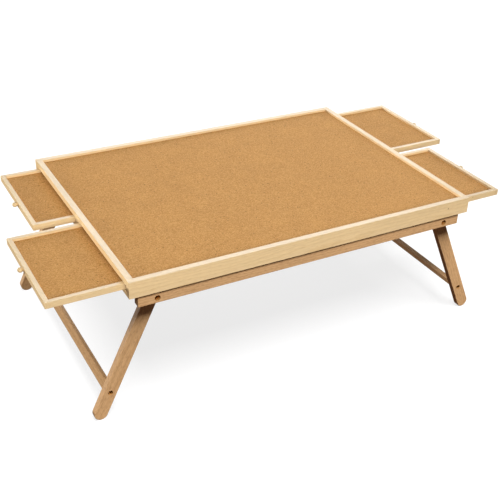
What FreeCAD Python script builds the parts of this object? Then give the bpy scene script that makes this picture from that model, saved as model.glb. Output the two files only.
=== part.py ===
import FreeCAD, Part
import math
import os

# Puzzle table: a pine frame round a cork-faced board, four shallow drawers that
# slide out of its short ends, and two beech leg frames that fold under it.
# Millimetres. +X runs along the table, +Z is up, and the origin is on the floor
# under the centre of the frame. The legs stand open and the drawers are part way out.

# Whole table
table_length = 890.0
table_width = 648.0
table_height = 358.0

# Pine frame
rail_thickness = 15.0
rail_height = 40.0
upper_end_rail_height = 14.3
lower_end_rail_height = 9.5
rail_edge_radius = 0.8

# Work board, a panel in grooves with a cork sheet on it
lip_height = 6.0
board_thickness = 3.0
board_groove_depth = 6.0
cork_thickness = 1.0

# Drawers
drawer_drop = 15.2
drawer_height = 14.4
drawer_strip_width = 11.0
tray_depth = 6.0
drawer_base_thickness = 3.0
drawer_groove_depth = 5.0
drawer_corner_radius = 2.5
drawer_edge_radius = 0.8
drawer_travel = 280.0
drawer_pulled_out = {
    "front_left": 167.5,
    "rear_left": 98.5,
    "front_right": 120.0,
    "rear_right": 187.0,
}

# Drawer knobs, a ball on a short neck with a tenon
knob_diameter = 12.0
knob_neck_diameter = 7.0
knob_ball_centre = 6.0
knob_tenon_diameter = 6.0
knob_tenon_wall = 1.5
knob_offset = 12.0

# Runners, battens and stop cleats
side_web = 9.9
centre_web = 29.8
runner_lip = 10.0
batten_width = 49.0
batten_height = 18.0
cleat_length = 20.0
stop_width = 60.0
stop_height = 4.2

# Beech leg rails
leg_rail_inset = 21.0
leg_rail_height = 29.8
leg_rail_thickness = 20.0
leg_rail_recess = 6.0

# Legs and stretchers
leg_width = 31.4
leg_thickness = 16.0
leg_splay_degrees = 25.0
leg_edge_radius = 1.2
pivot_inset = 65.0
stretcher_width = 22.0
stretcher_thickness = 11.0
stretcher_rise = 58.0
stretcher_edge_radius = 1.0

# Pivot hardware
bolt_diameter = 6.0
bolt_head_diameter = 12.0
bolt_head_height = 4.0
bolt_head_radius = 1.6
bolt_socket_width = 4.0
bolt_socket_depth = 2.5
bolt_counterbore_diameter = 13.0
bolt_counterbore_depth = 9.0
bolt_end = 1.5
washer_diameter = 14.0
washer_thickness = 1.0
nut_width = 10.0
nut_height = 6.0

# Wood screws and dowels
screw_diameter = 4.0
screw_head_diameter = 8.0
screw_head_height = 2.6
screw_slot_width = 1.2
screw_slot_depth = 1.4
stretcher_screw_length = 38.0
stretcher_counterbore_diameter = 10.5
stretcher_counterbore_depth = 8.0
leg_rail_screw_length = 32.0
leg_rail_screw_inset = 80.0
leg_rail_screw_count = 4
leg_rail_counterbore_diameter = 9.0
leg_rail_counterbore_depth = 9.0
dowel_diameter = 5.0
dowel_length = 22.0

# Clearances
drawer_side_gap = 0.7
drawer_bottom_gap = 0.3
drawer_top_gap = 0.5
drawer_close_gap = 0.5
drawer_stop_gap = 0.3
stop_top_gap = 0.8
board_edge_gap = 0.5
leg_stop_gap = 0.3
leg_top_gap = 2.1
washer_side_gap = 0.1
bolt_running_gap = 0.06

# Levels and half sizes that follow from the sizes above
half_length = table_length / 2
half_width = table_width / 2
inner_half_length = half_length - rail_thickness
inner_half_width = half_width - rail_thickness
frame_bottom = table_height - rail_height
surface_z = table_height - lip_height
board_top = surface_z - cork_thickness
board_bottom = board_top - board_thickness
drawer_top = table_height - drawer_drop
drawer_bottom = drawer_top - drawer_height
tray_floor = drawer_top - tray_depth
drawer_inner_y = centre_web / 2 + drawer_side_gap
drawer_outer_y = inner_half_width - side_web - drawer_side_gap
drawer_middle_y = (drawer_inner_y + drawer_outer_y) / 2
drawer_back_x = batten_width / 2 + drawer_close_gap
knob_tenon_length = drawer_strip_width - drawer_groove_depth - knob_tenon_wall
leg_rail_outer_y = half_width - leg_rail_recess
leg_rail_inner_y = leg_rail_outer_y - leg_rail_thickness
leg_outer_y = leg_rail_inner_y - washer_thickness - 2 * washer_side_gap
leg_inner_y = leg_outer_y - leg_thickness
leg_radius = leg_width / 2
pivot_x = half_length - pivot_inset
pivot_z = frame_bottom - leg_radius - leg_top_gap

X = FreeCAD.Vector(1, 0, 0)
Y = FreeCAD.Vector(0, 1, 0)
Z = FreeCAD.Vector(0, 0, 1)
origin = FreeCAD.Vector(0, 0, 0)
ends = {"left": -1, "right": 1}
rows = {"front": -1, "rear": 1}
os.makedirs("parts", exist_ok=True)


def point(x, y, z):
    return FreeCAD.Vector(x, y, z)


def block(x, y, z):
    # a box between its low and high limits along each axis
    return Part.makeBox(x[1] - x[0], y[1] - y[0], z[1] - z[0], point(x[0], y[0], z[0]))


def cylinder(diameter, length, start, direction):
    return Part.makeCylinder(diameter / 2, length, start, direction)


def is_along(edge, axis):
    return isinstance(edge.Curve, Part.Line) and abs(edge.Curve.Direction.dot(axis)) > 0.999


def ease(solid, radius, axes):
    # rounds the straight edges that run along the given axes
    edges = [e for e in solid.Edges if any(is_along(e, a) for a in axes)]
    return solid.makeFillet(radius, edges)


def prism(points, direction):
    wire = Part.makePolygon(points + points[:1])
    return Part.Face(wire).extrude(direction)


def mirrored(shape, end, row):
    # everything is drawn at the right rear and mirrored to the other ends and rows
    if end < 0:
        shape = shape.mirror(origin, X)
    if row < 0:
        shape = shape.mirror(origin, Y)
    return shape


def four_corners(shape):
    return [mirrored(shape, end, row) for end in ends.values() for row in rows.values()]


def save(name, shape):
    shape.exportStep("parts/" + name + ".step")


def wood_screw(length):
    # head seat at the origin, head towards +Z, shank towards -Z
    head = cylinder(screw_head_diameter, screw_head_height, origin, Z)
    shank = cylinder(screw_diameter, length, origin, -Z)
    long = screw_head_diameter * 0.3
    thin = screw_slot_width / 2
    high = (screw_head_height - screw_slot_depth, screw_head_height)
    slot = block((-long, long), (-thin, thin), high)
    cross = slot.fuse(block((-thin, thin), (-long, long), high))
    return head.fuse(shank).removeSplitter().cut(cross)


# Board and the groove that it takes in the four rails
board_half_x = inner_half_length + board_groove_depth - board_edge_gap
board_half_y = inner_half_width + board_groove_depth - board_edge_gap
board_z = (board_bottom, board_top)
work_board = block((-board_half_x, board_half_x), (-board_half_y, board_half_y), board_z)
groove_half_x = inner_half_length + board_groove_depth
groove_half_y = inner_half_width + board_groove_depth
board_groove = block((-groove_half_x, groove_half_x), (-groove_half_y, groove_half_y), board_z)
work_cork = block(
    (-inner_half_length, inner_half_length),
    (-inner_half_width, inner_half_width),
    (board_top, surface_z),
)
save("work_board", work_board)
save("work_cork", work_cork)

# Dowels between the end rails and the long rails
upper_end_rail_z = (table_height - upper_end_rail_height, table_height)
lower_end_rail_z = (frame_bottom, frame_bottom + lower_end_rail_height)
end_rail_x = (inner_half_length, half_length)
dowel_start_y = inner_half_width - dowel_length / 2
upper_dowel_x = half_length - (rail_thickness - board_groove_depth) / 2
lower_dowel_x = half_length - rail_thickness / 2
upper_dowel_start = point(upper_dowel_x, dowel_start_y, sum(upper_end_rail_z) / 2)
lower_dowel_start = point(lower_dowel_x, dowel_start_y, sum(lower_end_rail_z) / 2)
upper_dowel = cylinder(dowel_diameter, dowel_length, upper_dowel_start, Y)
lower_dowel = cylinder(dowel_diameter, dowel_length, lower_dowel_start, Y)
dowels = four_corners(upper_dowel) + four_corners(lower_dowel)
save("frame_dowels", Part.makeCompound(dowels))

# Screws up through the leg rails into the webs of the side runners
leg_rail_z = (frame_bottom - leg_rail_height, frame_bottom)
rail_screw_y = inner_half_width - side_web / 2
rail_screw_seat = leg_rail_z[0] + leg_rail_counterbore_depth
rail_screw_end = pivot_x - leg_rail_screw_inset
rail_screw_pitch = 2 * rail_screw_end / (leg_rail_screw_count - 1)
rail_screw_places = []
for i in range(leg_rail_screw_count):
    screw_x = i * rail_screw_pitch - rail_screw_end
    rail_screw_places.append(point(screw_x, rail_screw_y, rail_screw_seat))
rail_screw = wood_screw(leg_rail_screw_length)
rail_screw.rotate(origin, X, 180)
rail_screws = []
for place in rail_screw_places:
    rail_screws.append(rail_screw.translated(place))
both_rows_of_screws = [mirrored(s, 1, row) for row in rows.values() for s in rail_screws]
save("leg_rail_screws", Part.makeCompound(both_rows_of_screws))

# Long pine rails, full length and full height
long_rail = block((-half_length, half_length), (inner_half_width, half_width), (frame_bottom, table_height))
long_rail = ease(long_rail, rail_edge_radius, (X, Y, Z))
long_rail = long_rail.cut(board_groove)
for dowel in dowels:
    long_rail = long_rail.cut(dowel)
for row_name, row in rows.items():
    save(row_name + "_rail", mirrored(long_rail, 1, row))

# End rails above and below the drawers, and the post between the two drawers
end_rail_y = (-inner_half_width, inner_half_width)
upper_end_rail = ease(block(end_rail_x, end_rail_y, upper_end_rail_z), rail_edge_radius, (Y,))
upper_end_rail = upper_end_rail.cut(board_groove)
lower_end_rail = ease(block(end_rail_x, end_rail_y, lower_end_rail_z), rail_edge_radius, (Y,))
for dowel in dowels:
    upper_end_rail = upper_end_rail.cut(dowel)
    lower_end_rail = lower_end_rail.cut(dowel)
post_y = (-centre_web / 2, centre_web / 2)
end_post = block(end_rail_x, post_y, (lower_end_rail_z[1], upper_end_rail_z[0]))
for end_name, end in ends.items():
    save(end_name + "_upper_end_rail", mirrored(upper_end_rail, end, 1))
    save(end_name + "_lower_end_rail", mirrored(lower_end_rail, end, 1))
    save(end_name + "_end_post", mirrored(end_post, end, 1))

# Grooved runners that carry the drawer sides and hold them down
channel_z = (drawer_bottom - drawer_bottom_gap, drawer_top + drawer_top_gap)
runner_x = (-inner_half_length, inner_half_length)
runner_z = (frame_bottom, board_bottom)
side_channel_y = (inner_half_width - side_web - runner_lip, inner_half_width - side_web)
side_runner = block(runner_x, (side_channel_y[0], inner_half_width), runner_z)
side_runner = side_runner.cut(block(runner_x, side_channel_y, channel_z))
for place in rail_screw_places:
    side_runner = side_runner.cut(cylinder(screw_diameter, leg_rail_screw_length, place, Z))
centre_half = centre_web / 2 + runner_lip
centre_runner = block(runner_x, (-centre_half, centre_half), runner_z)
centre_runner = centre_runner.cut(block(runner_x, (centre_web / 2, centre_half), channel_z))
centre_runner = centre_runner.cut(block(runner_x, (-centre_half, -centre_web / 2), channel_z))
for row_name, row in rows.items():
    save(row_name + "_runner", mirrored(side_runner, 1, row))
save("centre_runner", centre_runner)

# Battens across the middle, which stop the closing drawers
batten_x = (-batten_width / 2, batten_width / 2)
batten_y = (centre_half, side_channel_y[0])
batten = block(batten_x, batten_y, (board_bottom - batten_height, board_bottom))
for row_name, row in rows.items():
    save(row_name + "_batten", mirrored(batten, 1, row))

# Cleats under the board, which stop the opening drawers
stop_y = (drawer_middle_y - stop_width / 2, drawer_middle_y + stop_width / 2)
cleat_start = drawer_back_x + drawer_strip_width + drawer_travel + drawer_stop_gap
cleat_z = (drawer_top + stop_top_gap, board_bottom)
cleat = block((cleat_start, cleat_start + cleat_length), stop_y, cleat_z)
save("drawer_stop_cleats", Part.makeCompound(four_corners(cleat)))


# Drawers, drawn closed at the right rear, then pulled out and mirrored
def drawer_knob(x, y, z):
    tenon = knob_tenon_diameter / 2
    neck = knob_neck_diameter / 2
    ball = knob_diameter / 2
    neck_end = knob_ball_centre - math.sqrt(ball ** 2 - neck ** 2)
    low = math.acos((neck_end - knob_ball_centre) / ball) / 2
    outline = [
        point(-knob_tenon_length, 0, 0),
        point(-knob_tenon_length, tenon, 0),
        point(0, tenon, 0),
        point(0, neck, 0),
        point(neck_end, neck, 0),
    ]
    edges = [Part.makeLine(a, b) for a, b in zip(outline, outline[1:])]
    middle = point(knob_ball_centre + ball * math.cos(low), ball * math.sin(low), 0)
    tip = point(knob_ball_centre + ball, 0, 0)
    edges.append(Part.Arc(outline[-1], middle, tip).toShape())
    edges.append(Part.makeLine(tip, outline[0]))
    knob = Part.Face(Part.Wire(edges)).revolve(origin, X, 360)
    return knob.translated(point(x, y, z))


def front_strip(x, y, z):
    strip = block(x, y, z)
    outer_corners = [e for e in strip.Edges if is_along(e, Z) and e.CenterOfMass.x > sum(x) / 2]
    strip = strip.makeFillet(drawer_corner_radius, outer_corners)
    level = [e for e in strip.Edges if e.BoundBox.ZLength < 0.001]
    return strip.makeFillet(drawer_edge_radius, level)


def drawer_pieces():
    front_x = (half_length - drawer_strip_width, half_length)
    back_x = (drawer_back_x, drawer_back_x + drawer_strip_width)
    full_y = (drawer_inner_y, drawer_outer_y)
    inner_y = (drawer_inner_y, drawer_inner_y + drawer_strip_width)
    outer_y = (drawer_outer_y - drawer_strip_width, drawer_outer_y)
    full_z = (drawer_bottom, drawer_top)
    side_x = (back_x[1], front_x[0])
    tray_y = (inner_y[1], outer_y[0])
    base_z = (tray_floor - cork_thickness - drawer_base_thickness, tray_floor - cork_thickness)
    base_x = (side_x[0] - drawer_groove_depth, side_x[1] + drawer_groove_depth)
    base_y = (tray_y[0] - drawer_groove_depth, tray_y[1] + drawer_groove_depth)
    base = block(base_x, base_y, base_z)
    front = front_strip(front_x, full_y, full_z).cut(base)
    back = ease(block(back_x, full_y, full_z), drawer_edge_radius, (X, Y, Z))
    back = back.fuse(block(back_x, stop_y, (sum(full_z) / 2, drawer_top + stop_height)))
    back = back.removeSplitter().cut(base)
    knob_y = drawer_middle_y - knob_offset
    knob = drawer_knob(half_length, knob_y, sum(full_z) / 2)
    tenon_start = point(half_length - knob_tenon_length, knob_y, sum(full_z) / 2)
    front = front.cut(cylinder(knob_tenon_diameter, knob_tenon_length, tenon_start, X))
    return {
        "front": front,
        "back": back,
        "inner_side": ease(block(side_x, inner_y, full_z), drawer_edge_radius, (X,)).cut(base),
        "outer_side": ease(block(side_x, outer_y, full_z), drawer_edge_radius, (X,)).cut(base),
        "base": base,
        "cork": block(side_x, tray_y, (tray_floor - cork_thickness, tray_floor)),
        "knob": knob,
    }


pieces = drawer_pieces()
for row_name, row in rows.items():
    for end_name, end in ends.items():
        drawer_name = row_name + "_" + end_name
        pull = point(drawer_pulled_out[drawer_name], 0, 0)
        for piece_name, piece in pieces.items():
            placed = mirrored(piece.translated(pull), end, row)
            save(drawer_name + "_drawer_" + piece_name, placed)

# Pivot bolts with a washer on each side of the leg and a nut
bolt_seat_y = leg_rail_outer_y - bolt_counterbore_depth
spacer_y = leg_rail_inner_y - washer_thickness
inner_washer_y = leg_inner_y - washer_side_gap - washer_thickness
nut_y = inner_washer_y - nut_height
bolt_length = bolt_seat_y - nut_y + bolt_end


def hexagon(width, length, start):
    radius = width / math.sqrt(3)
    corners = []
    for i in range(6):
        angle = math.radians(60 * i)
        corners.append(start + point(radius * math.cos(angle), 0, radius * math.sin(angle)))
    return prism(corners, Y * length)


def pivot_point(y):
    return point(pivot_x, y, pivot_z)


def washer(y):
    disc = cylinder(washer_diameter, washer_thickness, pivot_point(y), Y)
    return disc.cut(cylinder(bolt_diameter, washer_thickness, pivot_point(y), Y))


bolt_head = cylinder(bolt_head_diameter, bolt_head_height, pivot_point(bolt_seat_y), Y)
head_rim = [e for e in bolt_head.Edges if e.BoundBox.YMin > bolt_seat_y + bolt_head_height / 2]
bolt_head = bolt_head.makeFillet(bolt_head_radius, head_rim)
bolt_shank = cylinder(bolt_diameter, bolt_length, pivot_point(bolt_seat_y), -Y)
socket_start = pivot_point(bolt_seat_y + bolt_head_height - bolt_socket_depth)
bolt = bolt_head.fuse(bolt_shank).removeSplitter()
bolt = bolt.cut(hexagon(bolt_socket_width, bolt_socket_depth, socket_start))
nut = hexagon(nut_width, nut_height, pivot_point(nut_y))
nut = nut.cut(cylinder(bolt_diameter, nut_height, pivot_point(nut_y), Y))
washers = four_corners(washer(spacer_y)) + four_corners(washer(inner_washer_y))
save("pivot_bolts", Part.makeCompound(four_corners(bolt)))
save("pivot_washers", Part.makeCompound(washers))
save("pivot_nuts", Part.makeCompound(four_corners(nut)))

# Beech leg rails under the long rails
leg_rail_half = half_length - leg_rail_inset
leg_rail = block((-leg_rail_half, leg_rail_half), (leg_rail_inner_y, leg_rail_outer_y), leg_rail_z)
leg_rail = ease(leg_rail, leg_edge_radius, (X, Y, Z))
bolt_hole = cylinder(bolt_diameter, leg_rail_thickness, pivot_point(leg_rail_inner_y), Y)
bolt_counterbore = cylinder(
    bolt_counterbore_diameter, bolt_counterbore_depth, pivot_point(bolt_seat_y), Y
)
for end in ends.values():
    leg_rail = leg_rail.cut(mirrored(bolt_hole, end, 1))
    leg_rail = leg_rail.cut(mirrored(bolt_counterbore, end, 1))
for place in rail_screw_places:
    leg_rail = leg_rail.cut(cylinder(screw_diameter, leg_rail_height, place, Z))
    mouth = cylinder(leg_rail_counterbore_diameter, leg_rail_counterbore_depth, place, -Z)
    leg_rail = leg_rail.cut(mouth)
for row_name, row in rows.items():
    save(row_name + "_leg_rail", mirrored(leg_rail, 1, row))

# Legs: the inboard side of the top turns about the pivot, and the flat on its
# outboard side meets the runner above, which stops the leg at its splay
splay = math.radians(leg_splay_degrees)
down_leg = point(math.sin(splay), 0, -math.cos(splay))
outboard = point(math.cos(splay), 0, math.sin(splay))
leg_length = (pivot_z - leg_radius) / math.cos(splay)
crown_rise = leg_radius + leg_top_gap - leg_stop_gap
top_centre = pivot_point(leg_inner_y)
foot_centre = top_centre + down_leg * leg_length
foot_outer = foot_centre + outboard * leg_radius
heel_rise = (pivot_z + crown_rise - foot_outer.z) / math.cos(splay)
heel = foot_outer - down_leg * heel_rise
crown = top_centre + Z * crown_rise
turned = top_centre - outboard * leg_radius
shoulder_angle = math.radians(90 + (90 + leg_splay_degrees) / 2)
shoulder_reach = (leg_radius + crown_rise) / 2
shoulder = top_centre + point(math.cos(shoulder_angle), 0, math.sin(shoulder_angle)) * shoulder_reach
foot_inner = foot_centre - outboard * leg_radius
toe = foot_centre + down_leg * leg_radius
leg_outline = Part.Wire([
    Part.makeLine(foot_outer, heel),
    Part.makeLine(heel, crown),
    Part.Arc(crown, shoulder, turned).toShape(),
    Part.makeLine(turned, foot_inner),
    Part.Arc(foot_inner, toe, foot_outer).toShape(),
])
leg = Part.Face(leg_outline).extrude(Y * leg_thickness)
rim = [e for e in leg.Edges if e.BoundBox.YLength < 0.001]
leg = leg.makeFillet(leg_edge_radius, rim)
leg_hole = bolt_diameter + 2 * bolt_running_gap
leg = leg.cut(cylinder(leg_hole, leg_thickness, top_centre, Y))

# Stretcher near the feet, with a screw through each leg into its end
screw_axis = foot_centre - down_leg * stretcher_rise
screw_seat = screw_axis + Y * (leg_thickness - stretcher_counterbore_depth)
stretcher_mouth = cylinder(stretcher_counterbore_diameter, stretcher_counterbore_depth, screw_seat, Y)
screw_bore = cylinder(screw_diameter, stretcher_screw_length, screw_seat, -Y)
leg = leg.cut(stretcher_mouth).cut(screw_bore)
along = down_leg * (stretcher_width / 2)
across = outboard * (stretcher_thickness / 2)
section_start = point(screw_axis.x, -leg_inner_y, screw_axis.z)
section = [
    section_start - along - across,
    section_start + along - across,
    section_start + along + across,
    section_start - along + across,
]
stretcher = prism(section, Y * (2 * leg_inner_y))
stretcher = ease(stretcher, stretcher_edge_radius, (Y,))
for row in rows.values():
    stretcher = stretcher.cut(mirrored(screw_bore, 1, row))
stretcher_screw = wood_screw(stretcher_screw_length)
stretcher_screw.rotate(origin, X, -90)
stretcher_screw = stretcher_screw.translated(screw_seat)
for end_name, end in ends.items():
    for row_name, row in rows.items():
        save(row_name + "_" + end_name + "_leg", mirrored(leg, end, row))
    save(end_name + "_stretcher", mirrored(stretcher, end, 1))
    pair = [mirrored(stretcher_screw, end, row) for row in rows.values()]
    save(end_name + "_stretcher_screws", Part.makeCompound(pair))
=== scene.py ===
import bpy
import math
import random
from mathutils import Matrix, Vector


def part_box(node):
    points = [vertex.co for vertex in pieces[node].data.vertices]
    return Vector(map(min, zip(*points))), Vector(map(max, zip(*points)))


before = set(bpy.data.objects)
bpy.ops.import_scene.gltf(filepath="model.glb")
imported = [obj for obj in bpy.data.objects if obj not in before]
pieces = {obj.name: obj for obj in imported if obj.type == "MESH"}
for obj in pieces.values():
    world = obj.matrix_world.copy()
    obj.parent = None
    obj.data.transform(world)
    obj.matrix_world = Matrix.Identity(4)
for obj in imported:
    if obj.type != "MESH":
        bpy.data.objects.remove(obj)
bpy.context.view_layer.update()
scene = bpy.context.scene
print("frame loaded, pieces:", len(pieces))

noiseSpan = {"From Min": 0.3, "From Max": 0.7}  # where a noise texture has most of its values
wavesPerMetre = 20 / (2 * math.pi)  # rings of a wave texture at scale 1


def toLinear(hexColour):
    # sRGB hex to the linear values that the sockets take
    parts = [int(hexColour[i:i + 2], 16) / 255 for i in (1, 3, 5)]
    return [p / 12.92 if p <= 0.04045 else ((p + 0.055) / 1.055) ** 2.4 for p in parts] + [1.0]


def shaded(hexColour, factor):
    # the same colour, lighter or darker, for one piece of timber against the next
    return [min(1.0, part * factor) for part in toLinear(hexColour)[:3]] + [1.0]


def perMetre(sizeMm):
    # scale of a pattern drawn out along the grain, from its length and width
    length, width = sizeMm
    return (1000 / length, 1000 / width, 1000 / width)


def addNode(tree, kind, settings=None, links=None):
    # a setting is a socket's value where the node has such a socket, else the node's own property
    node = tree.nodes.new("ShaderNode" + kind)
    for key, value in (settings or {}).items():
        if isinstance(key, int) or key in node.inputs:
            node.inputs[key].default_value = value
        else:
            setattr(node, key, value)
    for key, socket in (links or {}).items():
        tree.links.new(socket, node.inputs[key])
    return node


def newMaterial(name):
    material = bpy.data.materials.new(name)
    material.use_nodes = True
    tree = material.node_tree
    tree.nodes.clear()
    shader = addNode(tree, "BsdfPrincipled")
    addNode(tree, "OutputMaterial", None, {"Surface": shader.outputs["BSDF"]})
    return material, tree, shader


def setStops(ramp, stops):
    # stops are (position, linear colour) pairs from left to right
    line = ramp.color_ramp
    while len(line.elements) < len(stops):
        line.elements.new(1.0)
    for element, (position, colour) in zip(line.elements, stops):
        element.position = position
        element.color = colour


def paint(name, material):
    for slot in pieces[name].material_slots:
        slot.material = material


# Timber. The pattern is solid, so rings on an end run on into the grain of the sides.
# Planed pine under clear lacquer: pale cream wood, faint broad figure, soft satin light on top.
pine = {
    "name": "pinePlanedLacquered",
    "early": "#E9CC9C",
    "late": "#E2C390",
    "fleckColour": "#B98A4E",
    "endShade": 0.92,
    "ringMm": 3.0,
    "swayMm": 7.0,
    "fleckMm": (12.0, 1.4),  # resin ducts, coarser than real so that they show
    "fleckFrom": 0.62,
    "fleckShare": 0.16,
    "fibreMm": (18.0, 2.6),  # bundles of fibre, coarser than real so that they show
    "fibreShade": (0.93, 1.05),
    "driftShade": (0.95, 1.04),
    "roughness": (0.40, 0.54),
    "bumpMm": 0.10,
    "coat": 1.0,
}
# Steamed beech, planed and oiled: warm tan, close grain, short dark ray flecks, hardly any gloss.
beech = {
    "name": "beechPlanedOiled",
    "early": "#D2A878",
    "late": "#C79B6B",
    "fleckColour": "#85532F",
    "endShade": 0.80,
    "ringMm": 4.6,
    "swayMm": 5.0,
    "fleckMm": (9.0, 1.9),  # rays, coarser than real so that they show
    "fleckFrom": 0.55,
    "fleckShare": 0.26,
    "fibreMm": (16.0, 2.6),  # bundles of fibre, coarser than real so that they show
    "fibreShade": (0.94, 1.05),
    "driftShade": (0.92, 1.06),
    "roughness": (0.46, 0.60),
    "bumpMm": 0.12,
    "coat": 0.1,
}
# what both timbers share
timber = {
    "swayLengthMm": (300.0, 55.0),  # how slowly the rings sway, along and across the grain
    "driftMm": (286.0, 45.5),
    "lateWood": (0.45, 0.86),  # share of a ring where late wood begins, and where it is darkest
    "fleckEdge": 0.1,
    "fleckShift": (3, 5, 7),  # keeps the flecks from following the fibres
    "endFacing": (0.6, 0.95),  # how squarely a face cuts the grain before it darkens, and fully
    "knotColour": "#6B4423",
    # painted shade inside the bores round screws and bolts, where little light reaches
    "boreShadeColour": "#8A5A1C",
    "boreShadeShare": 0.85,
    "boreShadeEdgeMm": (0.2, 0.6),  # the painted shade ends this far outside the bore
    "bumpStrength": 0.35,
    "ior": 1.5,
    "coatRoughness": 0.28,
    "coatIor": 1.6,
}


def makeTimber(wood, piece, along, heartMm, tone, knots=(), bores=()):
    # along is the direction of the grain, heartMm where the log's heart lies from the middle
    material, tree, shader = newMaterial(wood["name"] + "." + piece)
    low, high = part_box(piece)
    turn = Vector(along).rotation_difference(Vector((1, 0, 0)))
    heart = Vector(heartMm) / 1000 - turn @ ((low + high) / 2)
    place = addNode(tree, "TexCoord")
    spot = place.outputs["Object"]
    mapped = addNode(tree, "Mapping", {"Rotation": turn.to_euler(), "Location": heart},
                     {"Vector": spot})
    grain = mapped.outputs["Vector"]

    # rings round the heart, swaying as the tree grew
    slow = addNode(tree, "Mapping", {"Scale": perMetre(timber["swayLengthMm"])}, {"Vector": grain})
    sway = addNode(tree, "TexNoise", {"Scale": 1.0, "Detail": 2.0, "Roughness": 0.45},
                   {"Vector": slow.outputs["Vector"]})
    reach = 2 * wood["swayMm"] / 1000
    swayed = addNode(tree, "VectorMath", {"operation": "MULTIPLY_ADD", 1: (0, reach, reach)},
                     {0: sway.outputs["Color"], 2: grain})
    rings = addNode(tree, "TexWave", {
        "wave_type": "RINGS", "rings_direction": "X", "wave_profile": "SAW",
        "Scale": 1000 / wood["ringMm"] / wavesPerMetre, "Distortion": 0.6, "Detail": 1.0,
    }, {"Vector": swayed.outputs["Vector"]})
    ringColour = addNode(tree, "ValToRGB", None, {"Fac": rings.outputs["Fac"]})
    early, late = shaded(wood["early"], tone), shaded(wood["late"], tone)
    lateFrom, lateFull = timber["lateWood"]
    setStops(ringColour, [(0.0, early), (lateFrom, early), (lateFull, late), (1.0, early)])

    # fibres and a slow drift of tone along the board
    fine = addNode(tree, "Mapping", {"Scale": perMetre(wood["fibreMm"])}, {"Vector": grain})
    fibre = addNode(tree, "TexNoise", {"Scale": 1.0, "Detail": 3.0, "Roughness": 0.6},
                    {"Vector": fine.outputs["Vector"]})
    dark, light = wood["fibreShade"]
    fibreShade = addNode(tree, "MapRange", {**noiseSpan, "To Min": dark, "To Max": light},
                         {"Value": fibre.outputs["Fac"]})
    broad = addNode(tree, "Mapping", {"Scale": perMetre(timber["driftMm"])}, {"Vector": grain})
    drift = addNode(tree, "TexNoise", {"Scale": 1.0, "Detail": 1.0},
                    {"Vector": broad.outputs["Vector"]})
    dark, light = wood["driftShade"]
    driftShade = addNode(tree, "MapRange", {**noiseSpan, "To Min": dark, "To Max": light},
                         {"Value": drift.outputs["Fac"]})
    withFibre = addNode(tree, "Mix", {"data_type": "RGBA", "blend_type": "MULTIPLY", 0: 1.0},
                        {6: ringColour.outputs["Color"], 7: fibreShade.outputs["Result"]})
    withDrift = addNode(tree, "Mix", {"data_type": "RGBA", "blend_type": "MULTIPLY", 0: 1.0},
                        {6: withFibre.outputs[2], 7: driftShade.outputs["Result"]})

    # short dark flecks lying in the grain
    dashes = addNode(tree, "Mapping", {
        "Scale": perMetre(wood["fleckMm"]), "Location": timber["fleckShift"],
    }, {"Vector": grain})
    fleck = addNode(tree, "TexNoise", {"Scale": 1.0, "Detail": 0.0},
                    {"Vector": dashes.outputs["Vector"]})
    fleckShare = addNode(tree, "MapRange", {
        "From Min": wood["fleckFrom"], "From Max": wood["fleckFrom"] + timber["fleckEdge"],
        "To Max": wood["fleckShare"],
    }, {"Value": fleck.outputs["Fac"]})
    colour = addNode(tree, "Mix", {"data_type": "RGBA", 7: shaded(wood["fleckColour"], tone)},
                     {0: fleckShare.outputs["Result"], 6: withDrift.outputs[2]})

    # end grain drinks more finish, so it is darker
    facing = addNode(tree, "VectorMath",
                     {"operation": "DOT_PRODUCT", 1: Vector(along).normalized()},
                     {0: place.outputs["Normal"]})
    endOn = addNode(tree, "Math", {"operation": "ABSOLUTE"}, {0: facing.outputs["Value"]})
    endFrom, endFull = timber["endFacing"]
    endShade = addNode(tree, "MapRange", {
        "From Min": endFrom, "From Max": endFull, "To Min": 1.0, "To Max": wood["endShade"],
    }, {"Value": endOn.outputs["Value"]})
    colour = addNode(tree, "Mix", {"data_type": "RGBA", "blend_type": "MULTIPLY", 0: 1.0},
                     {6: colour.outputs[2], 7: endShade.outputs["Result"]})

    for knot in knots:  # pin knots on the front face, each a soft dark dot
        heartOfKnot = (high.x - knot["fromRightMm"] / 1000, low.y, high.z - knot["downMm"] / 1000)
        away = addNode(tree, "VectorMath", {"operation": "DISTANCE", 1: heartOfKnot}, {0: spot})
        radius = knot["radiusMm"] / 1000
        dot = addNode(tree, "MapRange", {
            "From Min": radius / 3, "From Max": radius, "To Min": knot["share"], "To Max": 0.0,
        }, {"Value": away.outputs["Value"]})
        colour = addNode(tree, "Mix", {"data_type": "RGBA", 7: toLinear(timber["knotColour"])},
                         {0: dot.outputs["Result"], 6: colour.outputs[2]})

    for x, z, radiusMm in bores:  # painted shade in a bore along Y, darker where little light gets in
        flat = addNode(tree, "VectorMath", {"operation": "MULTIPLY", 1: (1, 0, 1)}, {0: spot})
        away = addNode(tree, "VectorMath", {"operation": "DISTANCE", 1: (x, 0, z)},
                       {0: flat.outputs["Vector"]})
        near, far = ((radiusMm + edge) / 1000 for edge in timber["boreShadeEdgeMm"])
        boreShadeMask = addNode(tree, "MapRange", {
            "From Min": near, "From Max": far, "To Min": timber["boreShadeShare"], "To Max": 0.0,
        }, {"Value": away.outputs["Value"]})
        colour = addNode(tree, "Mix", {"data_type": "RGBA", 7: toLinear(timber["boreShadeColour"])},
                         {0: boreShadeMask.outputs["Result"], 6: colour.outputs[2]})

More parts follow.
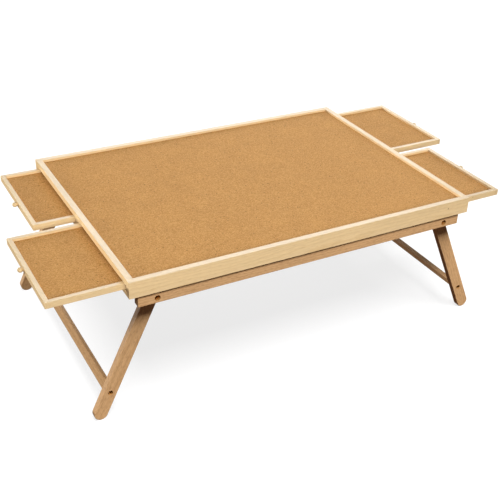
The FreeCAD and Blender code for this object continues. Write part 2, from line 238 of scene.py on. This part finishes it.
    smooth, rough = wood["roughness"]
    polish = addNode(tree, "MapRange", {**noiseSpan, "To Min": smooth, "To Max": rough},
                     {"Value": fibre.outputs["Fac"]})
    relief = addNode(tree, "Bump", {
        "Strength": timber["bumpStrength"], "Distance": wood["bumpMm"] / 1000,
    }, {"Height": fibre.outputs["Fac"]})
    tree.links.new(colour.outputs[2], shader.inputs["Base Color"])
    tree.links.new(polish.outputs["Result"], shader.inputs["Roughness"])
    tree.links.new(relief.outputs["Normal"], shader.inputs["Normal"])
    shader.inputs["IOR"].default_value = timber["ior"]
    shader.inputs["Coat Weight"].default_value = wood["coat"]
    shader.inputs["Coat Roughness"].default_value = timber["coatRoughness"]
    shader.inputs["Coat IOR"].default_value = timber["coatIor"]
    return material


# Each stick's timber and the way its grain runs
alongX, alongY, alongZ = (1, 0, 0), (0, 1, 0), (0, 0, 1)
splay = math.radians(25.0)  # of the legs, from upright
downLeft = (-math.sin(splay), 0, -math.cos(splay))
downRight = (math.sin(splay), 0, -math.cos(splay))
ends = ("left", "right")
rows = ("front", "rear")
sticks = {
    "front_rail": (pine, alongX), "rear_rail": (pine, alongX),
    "front_runner": (pine, alongX), "rear_runner": (pine, alongX),
    "centre_runner": (pine, alongX),
    "front_batten": (pine, alongY), "rear_batten": (pine, alongY),
    "drawer_stop_cleats": (pine, alongY),
    "frame_dowels": (beech, alongY),
    "front_leg_rail": (beech, alongX), "rear_leg_rail": (beech, alongX),
    "left_stretcher": (beech, alongY), "right_stretcher": (beech, alongY),
}
for end in ends:
    sticks[end + "_upper_end_rail"] = (pine, alongY)
    sticks[end + "_lower_end_rail"] = (pine, alongY)
    sticks[end + "_end_post"] = (pine, alongZ)
    for row in rows:
        drawer = row + "_" + end + "_drawer_"
        sticks[row + "_" + end + "_leg"] = (beech, downLeft if end == "left" else downRight)
        sticks[drawer + "front"] = (pine, alongY)
        sticks[drawer + "back"] = (pine, alongY)
        sticks[drawer + "inner_side"] = (pine, alongX)
        sticks[drawer + "outer_side"] = (pine, alongX)
        sticks[drawer + "knob"] = (pine, alongX)

# places from the right end and down from the top
pinKnots = {
    "front_rail": [
        {"fromRightMm": 63.0, "downMm": 16.4, "radiusMm": 2.6, "share": 0.75},
        {"fromRightMm": 9.0, "downMm": 8.0, "radiusMm": 1.4, "share": 0.3},
    ],
    "front_right_drawer_outer_side": [
        {"fromRightMm": 72.4, "downMm": 4.0, "radiusMm": 2.0, "share": 0.6},
    ],
}

# bores round the stretchers' screws and the pivot bolts, as (x, z, radius in mm)
boreRadiusMm = {"leg": 5.25, "legRail": 6.5}
bores = {}
for end in ends:
    low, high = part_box(end + "_stretcher_screws")
    middle = (low + high) / 2
    for row in rows:
        bores[row + "_" + end + "_leg"] = [(middle.x, middle.z, boreRadiusMm["leg"])]
low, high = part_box("pivot_bolts")
pivotX = high.x - (high.z - low.z) / 2
pivotZ = (low.z + high.z) / 2
for row in rows:
    bores[row + "_leg_rail"] = [(x, pivotZ, boreRadiusMm["legRail"]) for x in (-pivotX, pivotX)]

# every stick is cut from its own place in the log
sawing = {
    "lean": 0.022,  # how far the grain runs out of line
    "heartMm": (45, 95),  # distance from the log's heart
    "alongMm": 4000,
    "tone": (0.96, 1.04),
}
lot = random.Random(11)
for piece, (wood, along) in sticks.items():
    stray = [lot.uniform(-sawing["lean"], sawing["lean"]) for axis in range(3)]
    angle = lot.uniform(0, 2 * math.pi)
    radius = lot.uniform(*sawing["heartMm"])
    shift = lot.uniform(-sawing["alongMm"], sawing["alongMm"])
    heartMm = (shift, radius * math.cos(angle), radius * math.sin(angle))
    tone = lot.uniform(*sawing["tone"])
    paint(piece, makeTimber(wood, piece, Vector(along) + Vector(stray), heartMm, tone,
                            pinKnots.get(piece, ()), bores.get(piece, ())))
print("timber done, sticks:", len(sticks))


# Agglomerated cork sheet, sanded: fine tan granules, a few dark bark specks, no gloss.
cork = {
    "grainMm": 1.8,  # real grit is near 1 mm, drawn coarser so that it shows
    "dark": "#BA8547",
    "middle": "#CE9959",
    "light": "#DDAA6B",
    "raggedMm": 1.6,  # how far a granule's edge wanders
    "raggedPerMm": 0.9,
    "speckMm": 11.0,  # one speck at most in each such cell
    "speckColour": "#6E4522",
    "speckEdge": (0.07, 0.17),  # shares of a cell
    "speckStrength": 0.85,
    "speckAbove": 0.55,  # cells with a lower draw have no speck
    "cloudMm": 55.6,
    "cloudShade": (0.97, 1.03),
    "roughness": (0.78, 0.95),
    "bumpMm": 0.25,
    "bumpStrength": 0.4,
    "ior": 1.4,
}
material, tree, shader = newMaterial("corkAgglomeratedSanded")
spot = addNode(tree, "TexCoord").outputs["Object"]
wander = addNode(tree, "TexNoise", {"Scale": 1000 * cork["raggedPerMm"], "Detail": 2.0},
                 {"Vector": spot})
moved = addNode(tree, "VectorMath",
                {"operation": "MULTIPLY_ADD", 1: [cork["raggedMm"] / 1000] * 3},
                {0: wander.outputs["Color"], 2: spot})
granule = addNode(tree, "TexVoronoi", {"Scale": 1000 / cork["grainMm"]},
                  {"Vector": moved.outputs["Vector"]})
pick = addNode(tree, "SeparateColor", None, {"Color": granule.outputs["Color"]})
tint = addNode(tree, "ValToRGB", None, {"Fac": pick.outputs["Red"]})
setStops(tint, [(0.0, toLinear(cork["dark"])), (0.45, toLinear(cork["middle"])),
                (1.0, toLinear(cork["light"]))])
speck = addNode(tree, "TexVoronoi", {"Scale": 1000 / cork["speckMm"]},
                {"Vector": moved.outputs["Vector"]})
near, far = cork["speckEdge"]
core = addNode(tree, "MapRange", {
    "From Min": near, "From Max": far, "To Min": cork["speckStrength"], "To Max": 0.0,
}, {"Value": speck.outputs["Distance"]})
speckPick = addNode(tree, "SeparateColor", None, {"Color": speck.outputs["Color"]})
chosen = addNode(tree, "Math", {"operation": "GREATER_THAN", 1: cork["speckAbove"]},
                 {0: speckPick.outputs["Green"]})
speckShare = addNode(tree, "Math", {"operation": "MULTIPLY"},
                     {0: core.outputs["Result"], 1: chosen.outputs["Value"]})
speckled = addNode(tree, "Mix", {"data_type": "RGBA", 7: toLinear(cork["speckColour"])},
                   {0: speckShare.outputs["Value"], 6: tint.outputs["Color"]})
cloud = addNode(tree, "TexNoise", {"Scale": 1000 / cork["cloudMm"], "Detail": 2.0},
                {"Vector": spot})
dark, light = cork["cloudShade"]
cloudShade = addNode(tree, "MapRange", {**noiseSpan, "To Min": dark, "To Max": light},
                     {"Value": cloud.outputs["Fac"]})
clouded = addNode(tree, "Mix", {"data_type": "RGBA", "blend_type": "MULTIPLY", 0: 1.0},
                  {6: speckled.outputs[2], 7: cloudShade.outputs["Result"]})
smooth, rough = cork["roughness"]
dry = addNode(tree, "MapRange", {"To Min": smooth, "To Max": rough},
              {"Value": pick.outputs["Green"]})
relief = addNode(tree, "Bump", {
    "Strength": cork["bumpStrength"], "Distance": cork["bumpMm"] / 1000,
}, {"Height": granule.outputs["Distance"]})
tree.links.new(clouded.outputs[2], shader.inputs["Base Color"])
tree.links.new(dry.outputs["Result"], shader.inputs["Roughness"])
tree.links.new(relief.outputs["Normal"], shader.inputs["Normal"])
shader.inputs["IOR"].default_value = cork["ior"]
for piece in pieces:
    if piece.endswith("_cork"):
        paint(piece, material)

# Pressed hardboard: dark brown matted fibre, slightly shiny where the platen pressed it.
hardboard = {
    "clumpMm": 8.8,  # clumps of fibre, coarser than real so that they show
    "dark": "#5E3F24",
    "light": "#8A6239",
    "roughness": (0.45, 0.65),
    "bumpMm": 0.15,
    "bumpStrength": 0.3,
}
material, tree, shader = newMaterial("hardboardPressed")
spot = addNode(tree, "TexCoord").outputs["Object"]
felt = addNode(tree, "TexNoise", {
    "Scale": 1000 / hardboard["clumpMm"], "Detail": 5.0, "Distortion": 1.2,
}, {"Vector": spot})
tint = addNode(tree, "ValToRGB", None, {"Fac": felt.outputs["Fac"]})
setStops(tint, [(0.30, toLinear(hardboard["dark"])), (0.70, toLinear(hardboard["light"]))])
smooth, rough = hardboard["roughness"]
polish = addNode(tree, "MapRange", {"To Min": smooth, "To Max": rough},
                 {"Value": felt.outputs["Fac"]})
relief = addNode(tree, "Bump", {
    "Strength": hardboard["bumpStrength"], "Distance": hardboard["bumpMm"] / 1000,
}, {"Height": felt.outputs["Fac"]})
tree.links.new(tint.outputs["Color"], shader.inputs["Base Color"])
tree.links.new(polish.outputs["Result"], shader.inputs["Roughness"])
tree.links.new(relief.outputs["Normal"], shader.inputs["Normal"])
for piece in pieces:
    if piece == "work_board" or piece.endswith("_base"):
        paint(piece, material)

# Yellow-passivated zinc on steel: brassy film with cloudy brown patches.
plated = {
    "steelYellowZinc": {
        "dark": "#8A5720", "light": "#C98D3E", "cloudMm": 5.0, "roughness": (0.25, 0.45),
        "on": ("pivot_bolts", "pivot_washers", "pivot_nuts"),
    },
    "steelYellowZincScrew": {
        "dark": "#6A4820", "light": "#A67C3F", "cloudMm": 4.0, "roughness": (0.25, 0.45),
        "on": ("leg_rail_screws", "left_stretcher_screws", "right_stretcher_screws"),
    },
}
for name, look in plated.items():
    material, tree, shader = newMaterial(name)
    spot = addNode(tree, "TexCoord").outputs["Object"]
    film = addNode(tree, "TexNoise", {"Scale": 1000 / look["cloudMm"], "Detail": 3.0},
                   {"Vector": spot})
    tint = addNode(tree, "ValToRGB", None, {"Fac": film.outputs["Fac"]})
    setStops(tint, [(0.35, toLinear(look["dark"])), (0.65, toLinear(look["light"]))])
    smooth, rough = look["roughness"]
    polish = addNode(tree, "MapRange", {"To Min": smooth, "To Max": rough},
                     {"Value": film.outputs["Fac"]})
    tree.links.new(tint.outputs["Color"], shader.inputs["Base Color"])
    tree.links.new(polish.outputs["Result"], shader.inputs["Roughness"])
    shader.inputs["Metallic"].default_value = 1.0
    for piece in look["on"]:
        paint(piece, material)
print("cork, hardboard and fittings done")


# Studio: a white floor with a little glow of its own, dim walls, and soft lights all round.
# A light falls on the groups that it names, or on everything where it names none. One without
# sheen leaves no highlight, because it would burn out the tops in other views. One without the
# left drawers' shade lets no shadow of theirs fall on what lies below them.
studio = {
    "floorSide": 30.0,
    "floorGlow": 0.785,
    "floorColour": "#7C7C7C",
    "floorRoughness": 0.9,
    "backdrop": "#E7E7E7",
    "room": (  # height from straight down (0) to straight up (1), and the room's colour there
        (0.34, "#634736"), (0.40, "#5D5751"), (0.62, "#5D5751"), (0.72, "#3F3F3F"),
    ),
    "aim": (0, 0, 0.3),
    "lights": {
        "softFront": {
            "at": (-1.61, -6.02, 3.48), "size": (6.0, 4.0), "power": 590.0,
            "on": ("top",), "sheen": False,
        },
        "softHigh": {
            "at": (-1.14, -4.26, 5.74), "size": (3.0, 2.0), "power": 740.0,
            "on": ("rails",),
        },
        "softAbove": {
            "at": (0.52, -2.45, 6.84), "size": (3.4, 3.2), "power": 1490.0,
            "on": ("leftLeg", "rightLegs"),
        },
        "softWide": {
            "at": (0.00, -2.20, 6.80), "size": (5.0, 5.0), "power": 1200.0,
            "on": ("floor",), "leftDrawersShade": False,
        },
        "softLeft": {
            "at": (-4.45, 3.98, 0.75), "size": (2.5, 1.2), "power": 440.0,
            "on": ("top",), "sheen": False,
        },
        "softLow": {
            "at": (-4.45, 3.98, 1.15), "size": (2.5, 2.0), "power": 110.0,
            "on": ("leftLeg", "shelter"),
        },
        "softFoot": {
            "at": (-4.20, -2.40, 5.00), "size": (2.5, 2.0), "power": 390.0,
            "on": ("leftStretcher", "shelter"), "leftDrawersShade": False,
        },
        "softRight": {
            "at": (5.60, 1.60, 1.75), "size": (2.5, 2.0), "power": 107.0, "sheen": False,
        },
        "softBehind": {"at": (2.20, 4.00, 3.04), "size": (4.0, 2.5), "power": 75.0},
    },
}
half = studio["floorSide"] / 2
floorMesh = bpy.data.meshes.new("floor")
corners = [(-half, -half, 0), (half, -half, 0), (half, half, 0), (-half, half, 0)]
floorMesh.from_pydata(corners, [], [(0, 1, 2, 3)])
floor = bpy.data.objects.new("floor", floorMesh)
scene.collection.objects.link(floor)
material, tree, shader = newMaterial("whitePaperSweep")
shader.inputs["Base Color"].default_value = toLinear(studio["floorColour"])
shader.inputs["Roughness"].default_value = studio["floorRoughness"]
shader.inputs["Specular IOR Level"].default_value = 0.0
shader.inputs["Emission Color"].default_value = (1, 1, 1, 1)
shader.inputs["Emission Strength"].default_value = studio["floorGlow"]
floorMesh.materials.append(material)
floor.visible_diffuse = False  # its glow would light the table from below
floor.visible_glossy = False
floor.visible_shadow = False

world = bpy.data.worlds.new("studioSky")
world.use_nodes = True
tree = world.node_tree
tree.nodes.clear()
place = addNode(tree, "TexCoord")
height = addNode(tree, "SeparateXYZ", None, {"Vector": place.outputs["Generated"]})
level = addNode(tree, "MapRange", {"From Min": -1.0, "From Max": 1.0},
                {"Value": height.outputs["Z"]})
room = addNode(tree, "ValToRGB", None, {"Fac": level.outputs["Result"]})
setStops(room, [(position, toLinear(colour)) for position, colour in studio["room"]])
lit = addNode(tree, "Background", None, {"Color": room.outputs["Color"]})
seen = addNode(tree, "Background", {"Color": toLinear(studio["backdrop"])})
ray = addNode(tree, "LightPath")
backdrop = addNode(tree, "MixShader", None, {
    0: ray.outputs["Is Camera Ray"], 1: lit.outputs[0], 2: seen.outputs[0],
})
addNode(tree, "OutputWorld", None, {"Surface": backdrop.outputs[0]})
scene.world = world

# groups for the lights: what isn't named here is the top with its drawers
groupOf = {
    "front_leg_rail": "rails", "rear_leg_rail": "rails",
    "front_left_leg": "leftLeg", "left_stretcher_screws": "leftLeg",
    "front_right_leg": "rightLegs", "rear_right_leg": "rightLegs",
    "right_stretcher_screws": "rightLegs",
    "left_stretcher": "leftStretcher",
    "rear_left_leg": "shelter", "right_stretcher": "shelter",
}
groups = {"floor": [floor]}
shade = bpy.data.collections.new("shade")  # all that casts a shadow, without the left drawers
for piece, node in pieces.items():
    groups.setdefault(groupOf.get(piece, "top"), []).append(node)
    if "_left_drawer_" not in piece:
        shade.objects.link(node)
for name, lamp in studio["lights"].items():
    lampData = bpy.data.lights.new(name, "AREA")
    lampData.shape = "RECTANGLE"
    lampData.size, lampData.size_y = lamp["size"]
    lampData.energy = lamp["power"]
    light = bpy.data.objects.new(name, lampData)
    light.location = lamp["at"]
    beam = Vector(studio["aim"]) - light.location
    light.rotation_euler = beam.to_track_quat("-Z", "Y").to_euler()
    light.visible_glossy = lamp.get("sheen", True)
    scene.collection.objects.link(light)
    if "on" in lamp:
        flag = bpy.data.collections.new(name + "Flag")
        for group in lamp["on"]:
            for node in groups[group]:
                flag.objects.link(node)
        light.light_linking.receiver_collection = flag
    if not lamp.get("leftDrawersShade", True):
        light.light_linking.blocker_collection = shade

view = {
    "location": (-0.9616, -1.7366, 1.3359),
    "turn": (59.0803, -1.7863, -28.3164),  # degrees
    "lens": 63.24,
    "sensor": 36.0,
    "farthest": 60.0,
}
cameraData = bpy.data.cameras.new("camera")
cameraData.sensor_width = view["sensor"]
cameraData.lens = view["lens"]
cameraData.clip_end = view["farthest"]
camera = bpy.data.objects.new("camera", cameraData)
camera.location = view["location"]
camera.rotation_euler = [math.radians(angle) for angle in view["turn"]]
scene.collection.objects.link(camera)
scene.camera = camera
scene.view_settings.view_transform = "Standard"
print("studio and camera done")
